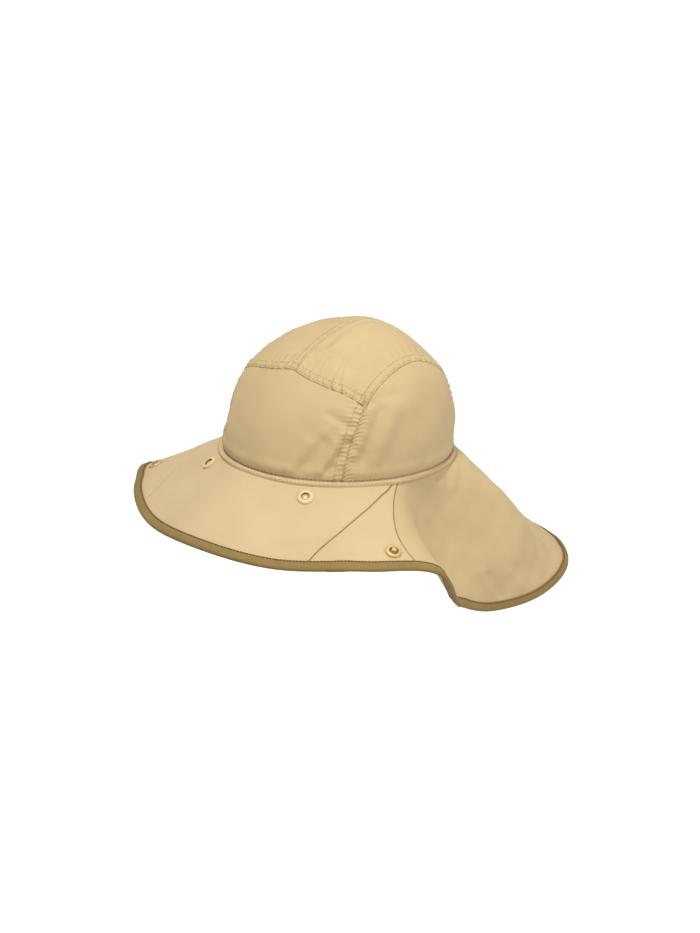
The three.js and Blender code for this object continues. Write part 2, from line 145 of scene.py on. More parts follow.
GUSSET_FRONT_ROWS = [
    dict(turn=74.6, run=0),
    dict(turn=67.6, run=0.1),
    dict(turn=61.9, run=0.18),
    dict(turn=52, run=0.37),
    dict(turn=44.1, run=0.56),
    dict(turn=37.7, run=0.75),
    dict(turn=34.4, run=0.9),
    dict(turn=33, run=1),
]
GUSSET_REAR_ROWS = [
    dict(turn=77, run=0),
    dict(turn=72.7, run=0.087),
    dict(turn=68.2, run=0.21),
    dict(turn=65.4, run=0.33),
    dict(turn=63.5, run=0.45),
    dict(turn=62.5, run=0.57),
    dict(turn=62.4, run=0.73),
    dict(turn=63.2, run=0.86),
    dict(turn=64.6, run=1),
]
CROWN_FOLD_ROWS = [
    dict(turn=37, rise=0.09, lean=38, long=0.2, wide=0.07, high=-0.2),
    dict(turn=27, rise=0.07, lean=42, long=0.2, wide=0.08, high=0.14),
    dict(turn=54, rise=0.1, lean=14, long=0.22, wide=0.07, high=-0.22),
    dict(turn=64, rise=0.13, lean=22, long=0.3, wide=0.09, high=0.14),
]
FLAP_FOLD_ROWS = [
    dict(turn=104, run=0.55, lean=12, long=0.22, wide=0.1, high=-0.12),
    dict(turn=122, run=0.7, lean=-20, long=0.16, wide=0.1, high=0.12),
    dict(turn=137, run=0.7, lean=-16, long=0.17, wide=0.1, high=-0.12),
    dict(turn=160, run=0.6, lean=8, long=0.24, wide=0.12, high=0.1),
]

# Turns of the seams at the crown's foot and at the rim
FOOT_TURN = ARCH_ROWS[0]["turn"]
HEEL_TURN = ARCH_ROWS[-1]["turn"]
INNER_FRONT = GUSSET_FRONT_ROWS[0]["turn"]
INNER_REAR = GUSSET_REAR_ROWS[0]["turn"]
RIM_FRONT = GUSSET_FRONT_ROWS[-1]["turn"]
RIM_REAR = GUSSET_REAR_ROWS[-1]["turn"]

# The snaps' places, as turn and run
SOCKET_PLACE = (31, 0.182)
STUD_PLACE = (58.6, 0.794)

# Soft folds of the cloth, in millimetres: both ends of a line, how wide and how high
CROWN_CREASES = [
    ((54, -76, 8), (62, -64, 30), 4.0, -2.8),
    ((50, -80, 9), (58, -69, 36), 3.6, 1.8),
    ((38, -89, 8), (49, -79, 30), 5.0, -1.8),
    ((30, -93, 8), (40, -84, 28), 4.5, 1.0),
    ((66, -45, 54), (66, -60, 22), 3.6, 1.2),
    ((71, -38, 54), (70, -55, 17), 4.6, -2.3),
    ((77, -27, 52), (76, -45, 17), 6.0, 1.2),
    ((60, -62, 42), (46, -71, 50), 3.6, -1.4),
    ((64, -44, 60), (70, -22, 64), 4.5, -1.2),
    ((9, -34, 89), (7, 14, 99), 3.0, -1.7),
    ((15, -34, 88), (14, 12, 98), 4.0, 1.1),
    ((12, -50, 80), (22, -36, 86), 2.6, -0.8),
    ((31, -46, 79), (24, -20, 90), 3.6, -0.9),
    ((42, -38, 78), (36, -18, 86), 3.6, -0.9),
    ((-54, -76, 8), (-60, -66, 30), 4.5, -2.0),
    ((-70, -50, 12), (-69, -40, 44), 5.5, 1.6),
    ((-64, -62, 16), (-66, -54, 44), 4.5, -1.4),
    ((-20, 96, 50), (10, 102, 34), 6.0, -1.2),
    ((-12, 104, 30), (24, 100, 44), 6.0, 1.0),
]
FLAP_CREASES = [
    ((74, 74, -12), (88, 96, -34), 16, 1.5),
    ((90, 88, -34), (99, 117, -62), 5.0, 2.0),
    ((102, 122, -67), (110, 142, -87), 6.0, 1.8),
    ((86, 148, -72), (80, 170, -86), 20, -2.8),
    ((115, 62, -90), (121, 74, -110), 3.0, -1.8),
    ((110, 54, -88), (116, 64, -110), 3.6, 1.6),
    ((119, 82, -92), (124, 94, -106), 3.6, 1.4),
    ((119, 100, -90), (126, 112, -96), 8.0, -1.8),
    ((116, 124, -82), (126, 134, -88), 6.0, 1.2),
    ((100, -2, -36), (112, 20, -78), 14, -1.2),
    ((94, 30, -26), (106, 60, -66), 16, -1.2),
    ((117, -60, -25), (122, -53, -29), 2.2, -0.6),
    ((75, 48, -3), (83, 24, -10), 3.2, -2.4),
    ((79, 50, -8), (86, 40, -20), 5.0, 1.4),
    ((-100, -2, -36), (-112, 20, -78), 14, -1.4),
    ((-112, 64, -84), (-124, 78, -112), 5.0, -1.2),
    ((-40, 180, -60), (-52, 206, -100), 9.0, -1.6),
    ((20, 184, -60), (26, 226, -104), 10, 1.8),
    ((60, 176, -74), (66, 200, -104), 8.0, -1.2),
]

# The camera, at the photo's angle
CAMERA_AZIMUTH = 39.0
CAMERA_ELEVATION = 18.2
CAMERA_ROLL = 4.5
CAMERA_DISTANCE = 1.5
CAMERA_ASIDE = 0.0089
CAMERA_ABOVE = -0.017
FOCAL_PIXELS = 1890
FRAME_PIXELS = 933
SENSOR = 36

# The floor, and the lights by name, place, size and power
FLOOR_REACH = 40.0
FLOOR_BELOW = 0.9
LIGHTS = [
    ("key", (0.22, -0.75, 1.65), 0.4, 17),
    ("top", (-0.3, 0.2, 1.8), 0.9, 5),
    ("side", (1.5, -0.2, 0.5), 0.9, 8),
]


def smoothstep(low, high, x):
    t = np.clip((x - low) / (high - low), 0, 1)
    return t * t * (3 - 2 * t)


def unit(v):
    return v / np.maximum(np.linalg.norm(v, axis=-1, keepdims=True), 1e-12)


def smooth(rows, key, place, name):
    """One column of a table at places between its rows, as a smooth curve through them."""
    x = np.array([r[key] for r in rows], float)
    y = np.array([r[name] for r in rows], float)
    step = np.diff(x)
    slope = np.diff(y) / step
    tangent = np.zeros(len(x))
    tangent[1:-1] = (step[:-1] * slope[1:] + step[1:] * slope[:-1]) / (step[:-1] + step[1:])
    at = np.clip(place, x[0], x[-1])
    i = np.clip(np.searchsorted(x, at, side="left") - 1, 0, len(x) - 2)
    w = step[i]
    t = (at - x[i]) / w
    return (
        (2 * t**3 - 3 * t**2 + 1) * y[i]
        + (t**3 - 2 * t**2 + t) * w * tangent[i]
        + (3 * t**2 - 2 * t**3) * y[i + 1]
        + (t**3 - t**2) * w * tangent[i + 1]
    )


def fold_height(rows, key, turn, place, per_degree, per_run, size):
    """Height of a set of soft folds, given the length of a degree and of one run."""
    height = 0
    for row in rows:
        lean = math.radians(row["lean"])
        sideways = (turn - row["turn"]) * per_degree
        upward = (place - row[key]) * per_run
        along = (upward * math.cos(lean) + sideways * math.sin(lean)) / (row["long"] * size)
        across = (sideways * math.cos(lean) - upward * math.sin(lean)) / (row["wide"] * size)
        height = height + row["high"] * row["wide"] * size * np.exp(-along**2 - across**2)
    return height


def crown_point(plan):
    """Outside of the crown over a flat disc, whose points lie 1 minus the rise from its middle."""
    u, v = plan[..., 0], plan[..., 1]
    heading = np.arctan2(u, -v)
    turn = np.abs(np.degrees(heading))
    rise = np.radians(90 * (1 - np.minimum(np.hypot(u, v), 1)))
    level = np.cos(rise) ** (2 / smooth(CROWN_ROWS, "turn", turn, "across"))
    height = np.sin(rise) ** (2 / smooth(CROWN_ROWS, "turn", turn, "up"))
    x = CROWN_WIDTH / 2 * np.sin(heading) * level
    y = -CROWN_LENGTH / 2 * np.cos(heading) * level + APEX_BACK * (1 - level)
    return np.stack([x, y, CROWN_HEIGHT * height], -1)


def crown_folds(plan):
    turn = np.abs(np.degrees(np.arctan2(plan[..., 0], -plan[..., 1])))
    rise = 1 - np.minimum(np.hypot(plan[..., 0], plan[..., 1]), 1)
    degree = (CROWN_LENGTH + CROWN_WIDTH) / 4 * math.radians(1)
    fold = fold_height(CROWN_FOLD_ROWS, "rise", turn, rise, degree, CROWN_HEIGHT * 1.5, CROWN_HEIGHT)
    return fold * np.minimum(1, rise * 12)


PROFILE_ROWS = [
    dict(turn=r["turn"], out=r["out"] * reach, down=r["down"] * drop, arch=r["arch"] * reach)
    for rows, reach, drop in ((BRIM_ROWS, BRIM_REACH, BRIM_DROP), (FLAP_ROWS, FLAP_REACH, FLAP_DROP))
    for r in rows
]


def side_turn(turn):
    return np.abs((turn + 180) % 360 - 180)


def brim_point(plan):
    """Top of the brim and flap by turn, in degrees all round, and run, from the crown to the rim."""
    turn, run = plan[..., 0], plan[..., 1]
    out, down, arch = (smooth(PROFILE_ROWS, "turn", side_turn(turn), k) for k in ("out", "down", "arch"))
    length = np.hypot(out, down)
    mid_out = out / 2 + arch * down / length
    mid_up = -down / 2 + arch * out / length
    outward = 2 * run * (1 - run) * mid_out + run**2 * out
    upward = 2 * run * (1 - run) * mid_up - run**2 * down
    s, c = np.sin(np.radians(turn)), np.cos(np.radians(turn))
    away = unit(np.stack([s / CROWN_WIDTH, -c / CROWN_LENGTH], -1))
    x = CROWN_WIDTH / 2 * s + away[..., 0] * outward
    y = -CROWN_LENGTH / 2 * c + away[..., 1] * outward
    return np.stack([x, y, upward], -1)


def brim_folds(plan):
    degree = (CROWN_LENGTH + CROWN_WIDTH + FLAP_REACH) / 4 * math.radians(1)
    turn = side_turn(plan[..., 0])
    return fold_height(FLAP_FOLD_ROWS, "run", turn, plan[..., 1], degree, FLAP_REACH, FLAP_REACH)


def brim_normal(plan):
    around = brim_point(plan + [0.2, 0]) - brim_point(plan - [0.2, 0])
    outward = brim_point(plan + [0, 0.002]) - brim_point(plan - [0, 0.002])
    return unit(np.cross(outward, around))


def seam_curve(points):
    """A smooth curve from 0 to 1 through points in even steps."""
    p = np.array(points, float)
    last = len(p) - 1

    def curve(t):
        at = np.clip(np.asarray(t, float), 0, 1) * last
        i = np.minimum(np.floor(at).astype(int), last)
        w = (at - i)[..., None]
        a, b = p[np.maximum(i - 1, 0)], p[i]
        c, d = p[np.minimum(i + 1, last)], p[np.minimum(i + 2, last)]
        v0, v1 = (c - a) / 2, (d - b) / 2
        return (2 * b - 2 * c + v0 + v1) * w**3 + (-3 * b + 3 * c - 2 * v0 - v1) * w**2 + v0 * w + b

    return curve


def disc_point(turn, rise, side=1):
    heading = np.radians(turn) * side
    return np.stack([(1 - rise) * np.sin(heading), -(1 - rise) * np.cos(heading)], -1)


def patch(near, far, first, last):
    """Plan points between four curves, for arrays of shares s and t."""

    def plan(s, t):
        s1, t1 = s[..., None], t[..., None]
        zero, one = np.zeros_like(s), np.ones_like(s)
        edges = near(s) * (1 - t1) + far(s) * t1 + first(t) * (1 - s1) + last(t) * s1
        start = near(zero) * (1 - t1) + far(zero) * t1
        end = near(one) * (1 - t1) + far(one) * t1
        return edges - start * (1 - s1) - end * s1

    return plan


def graded(length, coarse, fine=0.0004, low=0.0, high=0.0):
    """Shares from 0 to 1 whose steps are fine over a length at either end and coarse between."""
    steps = []
    at = 0.0
    while at < length:
        near_low = smoothstep(low, low + 6 * coarse, at) if low else 1
        near_high = smoothstep(high, high + 6 * coarse, length - at) if high else 1
        step = fine + (coarse - fine) * min(near_low, near_high)
        steps.append(step)
        at += step
    shares = np.concatenate([[0], np.cumsum(steps)])
    return shares / shares[-1]


KNOTS = 4096


def along_knots(knots, at):
    """Values at places along a row of knots, joined smoothly, that starts again at its end."""
    i = np.floor(at).astype(int)
    w = smoothstep(0, 1, at - i)
    return knots[i % len(knots)] * (1 - w) + knots[(i + 1) % len(knots)] * w


def wander(x, seed, spacing):
    """Smooth random values from -1 to 1 along a line, the same ones each run."""
    r = np.random.default_rng(seed)
    return along_knots(r.uniform(-1, 1, KNOTS), np.asarray(x) / spacing)


def gathers(x, seed, spacing):
    """Uneven waves along a line whose sign changes at each spacing, as gathered cloth has."""
    r = np.random.default_rng(seed)
    knots = r.uniform(0.35, 1, KNOTS) * np.where(np.arange(KNOTS) % 2, 1, -1)
    return along_knots(knots, np.asarray(x) / spacing + 0.35 * wander(x, seed + 7, spacing * 3))


def ripples(points, seed, wavelength, count=10):
    """Gentle unevenness through space, from -1 to 1 or so, as a sum of seeded waves."""
    r = np.random.default_rng(seed)
    total = 0
    for _ in range(count):
        way = unit(r.normal(size=3))
        k = 2 * math.pi / (wavelength * r.uniform(0.7, 1.6))
        total = total + np.sin(points @ way * k + r.uniform(0, 2 * math.pi))
    return total / math.sqrt(count)


def path_field(points, line):
    """For each point, how far it is from a line of points and how far along the line it lies."""
    along = np.concatenate([[0], np.cumsum(np.linalg.norm(np.diff(line, axis=0), axis=1))])
    flat = points.reshape(-1, 3)
    off = np.empty(len(flat))
    at = np.empty(len(flat))
    block = 4000
    for k in range(0, len(flat), block):
        part = flat[k : k + block]
        square = ((part[:, None] - line[None]) ** 2).sum(-1)
        i = square.argmin(1)
        j = np.clip(i, 1, len(line) - 2)
        way = line[j + 1] - line[j - 1]
        long = np.linalg.norm(way, axis=1)
        slide = ((part - line[j]) * way).sum(1) / long
        slide = np.clip(slide, -long / 2, long / 2)
        foot = line[j] + way / long[:, None] * slide[:, None]
        off[k : k + block] = np.linalg.norm(part - foot, axis=1)
        at[k : k + block] = along[j] + slide
    return off.reshape(points.shape[:-1]), at.reshape(points.shape[:-1])


class Panel:
    """A panel of cloth as a fine grid: its plan, the smooth surface, its outward side and its height."""

    def __init__(self, plan, point, s, t):
        self.grid = plan(*np.meshgrid(s, t, indexing="ij"))
        self.base = point(self.grid)
        normal = unit(np.cross(np.gradient(self.base, axis=0), np.gradient(self.base, axis=1)))
        middle = normal[normal.shape[0] // 2, normal.shape[1] // 2]
        outward = self.base[len(s) // 2, len(t) // 2] * [1, 1, 0] + [0, 0, 0.05]
        self.normal = normal if middle @ outward > 0 else -normal
        self.height = np.zeros(self.base.shape[:2])
        self.inside = np.zeros(self.base.shape[:2])

    def top(self):
        return self.base + self.normal * self.height[..., None]

    def line(self, side):
        sides = dict(near=self.base[:, 0], far=self.base[:, -1], first=self.base[0], last=self.base[-1])
        return sides[side]

    def from_side(self, side):
        """For each point, how far it is from one side and how far along that side it lies."""
        return path_field(self.base, self.line(side))

    def row_at(self, side, distance):
        """Points and outward ways of a line on the cloth at a distance from one of its sides."""
        off, _ = self.from_side(side)
        top, normal = self.top(), self.normal
        if side in ("first", "last"):
            off, top, normal = off.T, top.transpose(1, 0, 2), normal.transpose(1, 0, 2)
        if side in ("far", "last"):
            off, top, normal = off[:, ::-1], top[:, ::-1], normal[:, ::-1]
        points, ways = [], []
        for column in range(off.shape[0]):
            reach = np.maximum.accumulate(off[column])
            if reach[-1] < distance:
                continue
            at = np.interp(distance, reach, np.arange(len(reach)))
            j = min(int(at), len(reach) - 2)
            w = at - j
            points.append(top[column, j] * (1 - w) + top[column, j + 1] * w)
            ways.append(normal[column, j])
        return np.array(points), unit(np.array(ways))

    def mesh(self, name, wall, material):
        """Both faces of the cloth and the edges between them, as one closed mesh."""
        n, m = self.height.shape
        top = self.top()
        bottom = top - self.normal * (wall + self.inside)[..., None]
        points = np.concatenate([top.reshape(-1, 3), bottom.reshape(-1, 3)])
        k = np.arange(n * m).reshape(n, m)
        a, b, c, d = k[:-1, :-1], k[1:, :-1], k[1:, 1:], k[:-1, 1:]
        upper = np.stack([a, b, c, d], -1).reshape(-1, 4)
        lower = np.stack([a, d, c, b], -1).reshape(-1, 4) + n * m
        rim = np.concatenate([k[:, 0], k[-1, 1:], k[-2::-1, -1], k[0, -2::-1]])
        start, end = rim[:-1], rim[1:]
        wall_faces = np.stack([end, start, start + n * m, end + n * m], -1)
        faces = np.concatenate([upper, lower, wall_faces])
        if np.cross(top[1, 0] - top[0, 0], top[0, 1] - top[0, 0]) @ self.normal[0, 0] < 0:
            faces = faces[:, ::-1]
        du = np.linalg.norm(np.diff(self.base, axis=0), axis=-1).mean(1)
        dv = np.linalg.norm(np.diff(self.base, axis=1), axis=-1).mean(0)
        u = np.concatenate([[0], np.cumsum(du)])
        v = np.concatenate([[0], np.cumsum(dv)])
        uv = np.stack(np.meshgrid(u, v, indexing="ij"), -1).reshape(-1, 2)
        return make_mesh(name, points, faces, material, np.concatenate([uv, uv]))

    def area(self):
        a = self.base[1:, :-1] - self.base[:-1, :-1]
        b = self.base[:-1, 1:] - self.base[:-1, :-1]
        return float(np.linalg.norm(np.cross(a, b), axis=-1).sum())


def make_mesh(name, points, faces, material, uv=None):
    mesh = bpy.data.meshes.new(name)
    if isinstance(faces, np.ndarray):
        faces = faces.tolist()
    mesh.from_pydata(np.asarray(points).tolist(), [], faces)
    mesh.validate()
    mesh.update()
    if uv is not None:
        layer = mesh.uv_layers.new(name="cloth")
        index = np.empty(len(mesh.loops), np.int32)
        mesh.loops.foreach_get("vertex_index", index)
        layer.data.foreach_set("uv", uv[index].astype(np.float32).ravel())
    mesh.polygons.foreach_set("use_smooth", np.ones(len(mesh.polygons), bool))
    mesh.materials.append(material)
    piece = bpy.data.objects.new(name, mesh)
    bpy.context.scene.collection.objects.link(piece)
    return piece


# Materials


class Nodes:
    """A short way to lay out a material's nodes."""

    def __init__(self, name):
        self.material = bpy.data.materials.new(name)
        self.material.use_nodes = True
        self.tree = self.material.node_tree
        self.shader = self.tree.nodes["Principled BSDF"]

    def add(self, kind, **values):
        node = self.tree.nodes.new(kind)
        for key, value in values.items():
            if hasattr(node, key):
                setattr(node, key, value)
            else:
                node.inputs[key.replace("_", " ")].default_value = value
        return node

    def link(self, source, target):
        self.tree.links.new(source, target)

    def set(self, **values):
        for key, value in values.items():
            self.shader.inputs[key.replace("_", " ")].default_value = value

    def noise(self, **values):
        """Noise through space, on the piece's own coordinates."""
        node = self.add("ShaderNodeTexNoise", **values)
        place = self.add("ShaderNodeTexCoord")
        self.link(place.outputs["Object"], node.inputs["Vector"])
        return node.outputs["Fac"]

    def bump(self, height, strength, distance):
        relief = self.add("ShaderNodeBump", Strength=strength, Distance=distance)
        self.link(height, relief.inputs["Height"])
        self.link(relief.outputs["Normal"], self.shader.inputs["Normal"])

    def math(self, operation, a, b):
        node = self.add("ShaderNodeMath", operation=operation)
        for socket, value in zip(node.inputs, (a, b)):
            if isinstance(value, (int, float)):
                socket.default_value = value
            else:
                self.link(value, socket)
        return node.outputs[0]

    def colour(self, factor, *stops):
        """The shader's colour, from stops along a factor."""
        node = self.add("ShaderNodeValToRGB")
        elements = node.color_ramp.elements
        while len(elements) < len(stops):
            elements.new(0.5)
        for element, (position, colour) in zip(elements, stops):
            element.position = position
            element.color = (*colour, 1)
        self.link(factor, node.inputs["Fac"])
        self.link(node.outputs["Color"], self.shader.inputs["Base Color"])

    def roughness(self, factor, spread, least):
        rough = self.math("ADD", self.math("MULTIPLY", factor, spread), least)
        self.link(rough, self.shader.inputs["Roughness"])


def linear(red, green, blue):
    """A colour given as 0 to 255 screen values, as the shader wants it."""
    values = [c / 255 for c in (red, green, blue)]
    return tuple(c / 12.92 if c <= 0.04045 else ((c + 0.055) / 1.055) ** 2.4 for c in values)


def shade(colour, factor):
    return tuple(min(1.0, c * factor) for c in colour)


def cloth_material(name, colour, thread_pitch=0.00042, bump=0.35, sheen=0.06, mottle=0.05, rough=0.82):
    """Plain weave: crossing threads as bump and a little colour, with soft mottling over it."""
    n = Nodes(name)
    uv = n.add("ShaderNodeUVMap", uv_map="cloth")
    waves = []
    for direction in ("X", "Y"):
        wave = n.add("ShaderNodeTexWave", wave_type="BANDS", bands_direction=direction, wave_profile="SIN")
        wave.inputs["Scale"].default_value = 1 / thread_pitch / math.pi
        wave.inputs["Distortion"].default_value = 0.6
        wave.inputs["Detail"].default_value = 1
        n.link(uv.outputs["UV"], wave.inputs["Vector"])
        waves.append(wave.outputs["Fac"])
    weave = n.math("MULTIPLY", waves[0], waves[1])
    slub = n.noise(Scale=900.0, Detail=2.0)
    cloud = n.noise(Scale=28.0, Detail=3.0, Roughness=0.6)
    tone = n.math("ADD", n.math("MULTIPLY", cloud, 0.6), n.math("MULTIPLY", weave, 0.25))
    tone = n.math("ADD", tone, n.math("MULTIPLY", slub, 0.15))
    n.colour(
        tone,
        (0.25, shade(colour, 1 - 1.6 * mottle)),
        (0.5, colour),
        (0.75, shade(colour, 1 + 1.2 * mottle)),
    )
    height = n.math("ADD", n.math("MULTIPLY", weave, 0.7), n.math("MULTIPLY", slub, 0.5))
    n.bump(height, bump, 0.0002)
    n.roughness(cloud, 0.1, rough - 0.05)
    n.set(Sheen_Weight=sheen, Sheen_Roughness=0.6, Sheen_Tint=(*colour, 1), Specular_IOR_Level=0.25)
    return n.material


def thread_material(name, colour):
    n = Nodes(name)
    noise = n.noise(Scale=1400.0, Detail=2.0)
    n.colour(noise, (0.3, shade(colour, 0.8)), (0.7, shade(colour, 1.15)))
    n.bump(noise, 0.4, 0.0001)
    n.set(Roughness=0.6, Sheen_Weight=0.2)
    return n.material


def metal_material(name, colour, metallic, rough, wear_colour):
    """Satin metal or enamel, with a little wear where a coarse noise says."""
    n = Nodes(name)
    noise = n.noise(Scale=700.0, Detail=4.0)
    n.colour(noise, (0.35, colour), (0.62, colour), (0.75, wear_colour))
    n.set(Metallic=metallic)
    n.roughness(noise, 0.15, rough - 0.07)
    n.bump(noise, 0.1, 0.0001)
    return n.material


KHAKI = linear(207, 182, 136)
CROWN_CLOTH = cloth_material("crown_cloth", KHAKI)
BRIM_CLOTH = cloth_material("brim_cloth", linear(211, 187, 144))
FLAP_CLOTH = cloth_material("flap_cloth", KHAKI)
BINDING_TAPE = cloth_material(
    "binding_tape", linear(152, 126, 74), thread_pitch=0.0007, bump=0.6, sheen=0.05, mottle=0.12)
KHAKI_THREAD = thread_material("khaki_thread", linear(176, 146, 94))
BROWN_THREAD = thread_material("brown_thread", linear(92, 64, 26))
# Darker thread, run close, that also paints the shadow in the brim seams' ditches
SEAM_THREAD_AND_SHADE = thread_material("seam_thread_and_shade", linear(166, 136, 86))
SNAP_ENAMEL = metal_material("snap_enamel", linear(226, 200, 150), 0.0, 0.3, linear(196, 168, 112))
# A darker brass, used as painted shade in the snaps' hollows
SNAP_PAINTED_SHADE = metal_material("snap_painted_shade", linear(138, 108, 62), 0.3, 0.4, linear(98, 74, 38))
SNAP_BRASS = metal_material("snap_brass", linear(212, 184, 124), 0.3, 0.35, linear(176, 142, 80))


# Sewing details on a panel


def roll_edge(panel, side, depth=0.0007, width=0.0011):
    """The cloth turns down into the seam at one side."""
    off, _ = panel.from_side(side)
    panel.height -= depth * (1 - smoothstep(0, width, off))


def pucker(panel, side, seed, amount, reach, spacing, slant=0.0, patchy=0.55):
    """Small gathers that cross a seam and fade away from it."""
    off, along = panel.from_side(side)
    spread = 1 - patchy + patchy * np.abs(wander(along, seed + 1, 0.017))
    lean = slant * off + 0.0012 * wander(off, seed + 3, 0.004)
    wave = gathers(along + lean + 0.3, seed, spacing)
    fade = np.exp(-((off / (reach * (0.5 + 0.8 * spread))) ** 2)) * smoothstep(0, 0.0008, off)
    panel.height += amount * wave * fade * spread


def fell(panel, side, seed, rise=0.0005, width=FELL_WIDTH, spacing=0.0021, amount=0.001):
    """The raised strip of a folded seam, held by two rows of stitches, with gathers between them."""
    off, along = panel.from_side(side)
    strip = 1 - smoothstep(width - 0.0005, width + 0.0007, off)
    dip = sum(np.exp(-(((off - row) / 0.0005) ** 2)) for row in np.multiply(width, FELL_ROWS))
    panel.height += rise * strip - 0.0003 * dip
    patchy = 0.4 + 0.6 * np.abs(wander(along, seed + 1, 0.015))
    middle = np.exp(-(((off - width * 0.6) / (width * 0.75)) ** 2))
    panel.height += amount * gathers(along + off * 0.4, seed, spacing) * middle * patchy


def crease(panel, rows):
    """Soft folds along short straight lines, each from one point to another."""
    for a, b, wide, high in rows:
        a, b = np.array(a) / 1000, np.array(b) / 1000
        way = b - a
        share = np.clip(((panel.base - a) @ way) / (way @ way), 0, 1)
        off = np.linalg.norm(panel.base - a - share[..., None] * way, axis=-1)
        panel.height += high / 1000 * np.exp(-((off / (wide / 1000)) ** 2))


def inner_tape(panel, sides, width=0.006, thick=0.0005):
    """Flat tape over the seams on the inside."""
    for side in sides:
        off, _ = panel.from_side(side)
        panel.inside = np.maximum(panel.inside, thick * (1 - smoothstep(width, width + 0.0008, off)))


def stitch_template():
    """A short thread whose two ends dip into the cloth, along X, with its up side on Z."""
    half = [(0.2, 1.0, 0.55), (0.4, 0.85, -0.1), (0.5, 0.35, -1.6)]
    stations = [(-along, size, lift) for along, size, lift in half[::-1]] + half
    sides = 6
    points = []
    for along, size, lift in stations:
        for k in range(sides):
            angle = 2 * math.pi * k / sides
            points.append((along, math.cos(angle) * size, math.sin(angle) * size + lift))
    faces = []
    for i in range(len(stations) - 1):
        for k in range(sides):
            a, b = i * sides + k, i * sides + (k + 1) % sides
            faces.append((a, a + sides, b + sides, b))
    first = tuple(range(sides))
    last = tuple(range(len(points) - 1, len(points) - 1 - sides, -1))
    return np.array(points), faces, (first, last)


def stitch_row(points, ways, pitch=STITCH_PITCH, length=STITCH_LENGTH, radius=STITCH_RADIUS, seed=0):
    """Vertices and faces of a row of stitches along a line on the cloth."""
    along = np.concatenate([[0], np.cumsum(np.linalg.norm(np.diff(points, axis=0), axis=1))])
    count = max(1, int(along[-1] / pitch))
    middles = (np.arange(count) + 0.5) * along[-1] / count
    r = np.random.default_rng(seed)
    middles = middles + r.uniform(-0.06, 0.06, count) * pitch

    def at(values, where):
        return np.stack([np.interp(where, along, values[:, k]) for k in range(3)], -1)

    start, end = at(points, middles - length / 2), at(points, middles + length / 2)
    middle = at(points, middles)
    tangent = unit(end - start)
    up = at(ways, middles)
    up = unit(up - (up * tangent).sum(1)[:, None] * tangent)
    side = np.cross(up, tangent)
    shape, quads, caps = stitch_template()
    place = (
        middle[:, None]
        + tangent[:, None] * shape[None, :, 0:1] * length
        + side[:, None] * shape[None, :, 1:2] * radius
        + up[:, None] * shape[None, :, 2:3] * radius
    )
    faces = []
    for k in range(count):
        base = k * len(shape)
        faces += [tuple(i + base for i in q) for q in (*quads, *caps)]
    return place.reshape(-1, 3), faces


def join_rows(name, rows, material):
    """One mesh of several rows of stitches."""
    points, faces, base = [], [], 0
    for place, quads in rows:
        points.append(place)
        faces += [tuple(i + base for i in q) for q in quads]
        base += len(place)
    return make_mesh(name, np.concatenate(points), faces, material)


def dress(piece, slot, *nodes):
    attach(piece, "root")
    if nodes:
        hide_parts(*nodes)
    return piece


# Crown


def crown_seams(side):
    arch = seam_curve([disc_point(r["turn"], r["rise"], side) for r in ARCH_ROWS])
    share = {r["corner"]: i / (len(ARCH_ROWS) - 1) for i, r in enumerate(ARCH_ROWS) if "corner" in r}

    def stretch(start, end):
        return lambda t: arch(share[start] + (share[end] - share[start]) * np.asarray(t))

    across = [disc_point(r["turn"], r["rise"], -side) for r in FRONT_SEAM_ROWS[:0:-1]]
    across += [disc_point(r["turn"], r["rise"], side) for r in FRONT_SEAM_ROWS]
    return stretch, seam_curve(across)


def crown_foot(start, end, side):
    return lambda s: disc_point(start + (end - start) * s, np.zeros_like(s), side)


def soft_crown(panel):
    """Folds and unevenness of the soft crown, and its roll into the seam at its foot."""
    panel.height += crown_folds(panel.grid)
    above = np.maximum(panel.base[..., 2], 0)
    free = smoothstep(0.004, 0.03, above)
    panel.height += 0.0008 * ripples(panel.base, 71, 0.045) * free
    panel.height += 0.00013 * ripples(panel.base, 72, 0.02) * free
    crease(panel, CROWN_CREASES)
    heading = np.arctan2(panel.base[..., 0], -panel.base[..., 1])
    puff = 1 + 0.5 * wander(heading * FOOT_RADIUS + 1, 73, 0.012)
    panel.height += 0.0009 * puff * np.exp(-(((above - 0.0065) / 0.0040) ** 2))
    panel.height -= 0.0008 * np.exp(-(above / 0.0014))
    small = gathers(heading * FOOT_RADIUS + 1, 74, 0.0026)
    panel.height += 0.00022 * small * np.exp(-((above / 0.006) ** 2))


def crown_panel(plan, s, t, foot):
    """A panel of the crown with its folds, whose foot is the given column of its grid."""
    panel = Panel(plan, crown_point, s, t)
    # The cloth goes on down inside the brim, as seam allowance.
    panel.base[:, foot, 2] -= FOOT_ALLOWANCE
    soft_crown(panel)
    return panel


def crown_front():
    right, _ = crown_seams(-1)
    left, forehead = crown_seams(1)
    foot = crown_foot(-FOOT_TURN, FOOT_TURN, 1)
    plan = patch(foot, forehead, right("foot", "front"), left("foot", "front"))
    s = graded(0.15, 0.0012, low=0.006, high=0.006)
    t = graded(0.075, 0.0007, low=0.004, high=0.004)
    panel = crown_panel(plan, s, t, foot=0)
    for side, seed in (("first", 21), ("last", 22)):
        pucker(panel, side, seed, 0.0007, 0.0074, 0.0017, 0.25, patchy=0.3)
        pucker(panel, side, seed + 4, 0.0007, 0.014, 0.0055, -0.3)
        roll_edge(panel, side, EDGE_ROLL)
    pucker(panel, "far", 23, 0.0004, 0.006, 0.0028)
    roll_edge(panel, "far", EDGE_ROLL)
    inner_tape(panel, ("first", "last", "far"))
    return panel


